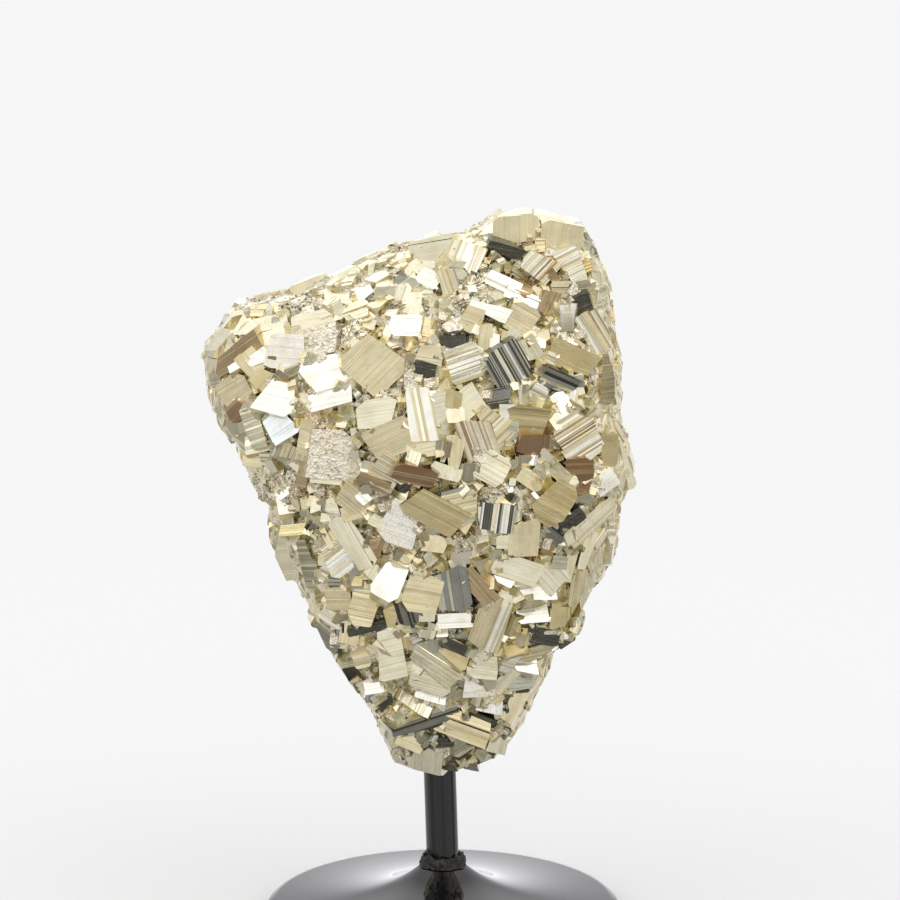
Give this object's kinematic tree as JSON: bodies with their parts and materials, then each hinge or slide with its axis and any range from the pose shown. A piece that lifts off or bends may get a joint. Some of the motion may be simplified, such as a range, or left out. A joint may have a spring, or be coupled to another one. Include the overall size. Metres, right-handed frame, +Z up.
{
  "type": "pyrite specimen on stand",
  "caption": "Wedge-shaped cluster of intergrown striated cubic pyrite crystals, set on a short round steel post that rises from a flared round display base.",
  "frame": {"origin": "centre of the flat underside of the round base", "axes": "+Z up along the height, -Y out of the displayed front face, +X to the right as the front is seen"},
  "size_m": [0.1244, 0.104, 0.207],
  "materials": {
    "pyrite": "brassy metallic lustre, striated crystal faces",
    "black_steel": "semi-gloss black paint",
    "weld": "rough dark bead",
    "gloss_black": "gloss black enamel"
  },
  "bodies": {
    "root": {"pyrite_cluster": "pyrite", "post": "black_steel", "weld_bead": "weld", "base": "gloss_black"}
  },
  "joints": []
}
